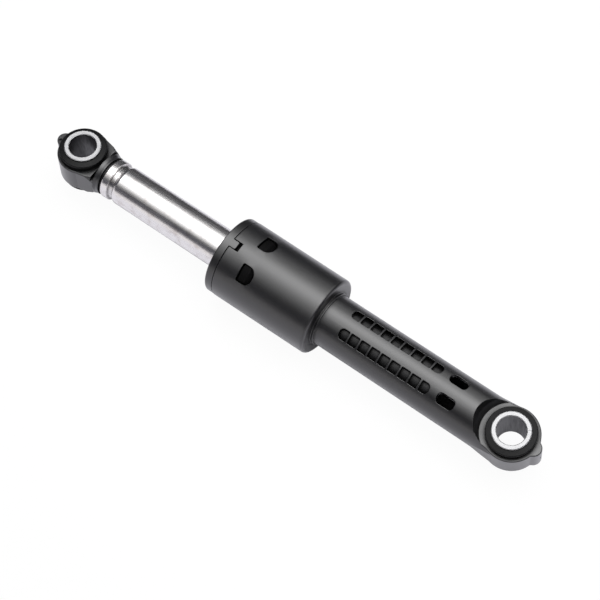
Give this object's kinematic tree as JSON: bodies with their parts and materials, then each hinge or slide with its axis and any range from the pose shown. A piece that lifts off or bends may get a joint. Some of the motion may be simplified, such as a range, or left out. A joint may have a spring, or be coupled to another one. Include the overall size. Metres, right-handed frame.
{
  "type": "washing machine shock absorber",
  "caption": "Straight friction damper: a metal tube rod slides in a round moulded housing with a wide head, and a rubber-bushed sleeve sits in the eye at each end.",
  "frame": {"origin": "centre of the housing eye's bore, halfway along the sleeve", "axes": "+X along the damper to the rod eye, +Z along the eye bores and up, +Y to the side"},
  "size_m": [0.2538, 0.036, 0.036],
  "materials": {
    "housing_plastic": "black glass-filled plastic, moulded, satin",
    "cap_plastic": "black plastic, moulded, satin",
    "rod_eye_plastic": "black glass-filled plastic, moulded, satin",
    "bush_rubber": "black rubber, matte",
    "sleeve_steel": "zinc-plated steel, rolled",
    "rod_steel": "plated steel tube, bright",
    "plug_plastic": "natural plastic, moulded",
    "buffer_rubber": "black elastomer",
    "carrier_plastic": "grey plastic, moulded",
    "lining_foam": "greased foam",
    "ring_steel": "spring steel wire"
  },
  "bodies": {
    "housing": {"damper_housing": "housing_plastic", "head_cap": "cap_plastic", "housing_eye_rubber": "bush_rubber", "rear_buffer": "buffer_rubber", "front_buffer": "buffer_rubber"},
    "friction_unit": {"carrier_half_left": "carrier_plastic", "carrier_half_right": "carrier_plastic", "lining_left": "lining_foam", "lining_right": "lining_foam", "carrier_ring_rear": "ring_steel", "carrier_ring_front": "ring_steel"},
    "rod_guide": {"rod_end_plug": "plug_plastic"},
    "rod": {"rod_tube": "rod_steel", "rod_eye": "rod_eye_plastic", "rod_eye_rubber": "bush_rubber"},
    "housing_sleeve": {"housing_eye_sleeve": "sleeve_steel"},
    "rod_sleeve": {"rod_eye_sleeve": "sleeve_steel"}
  },
  "joints": [
    {"name": "unit_float", "type": "slide", "parent": "housing", "child": "friction_unit", "axis": [1, 0, 0], "range_m": [-0.005, 0.005]},
    {"name": "rod_slide", "type": "slide", "parent": "friction_unit", "child": "rod_guide", "axis": [1, 0, 0], "range_m": [-0.0485, 0.0265]},
    {"name": "rod_swivel", "type": "hinge", "parent": "rod_guide", "child": "rod", "pos_m": [0.08, 0, 0], "axis": [1, 0, 0], "continuous": true},
    {"name": "housing_bush_twist", "type": "hinge", "parent": "housing", "child": "housing_sleeve", "pos_m": [0, 0, 0], "axis": [0, 0, 1], "range_deg": [-20, 20], "stiffness_Nm_per_rad": 0.5},
    {"name": "rod_bush_twist", "type": "hinge", "parent": "rod", "child": "rod_sleeve", "pos_m": [0.2255, 0, 0], "axis": [0, -0.1736, 0.9848], "range_deg": [-20, 20], "stiffness_Nm_per_rad": 0.5}
  ]
}
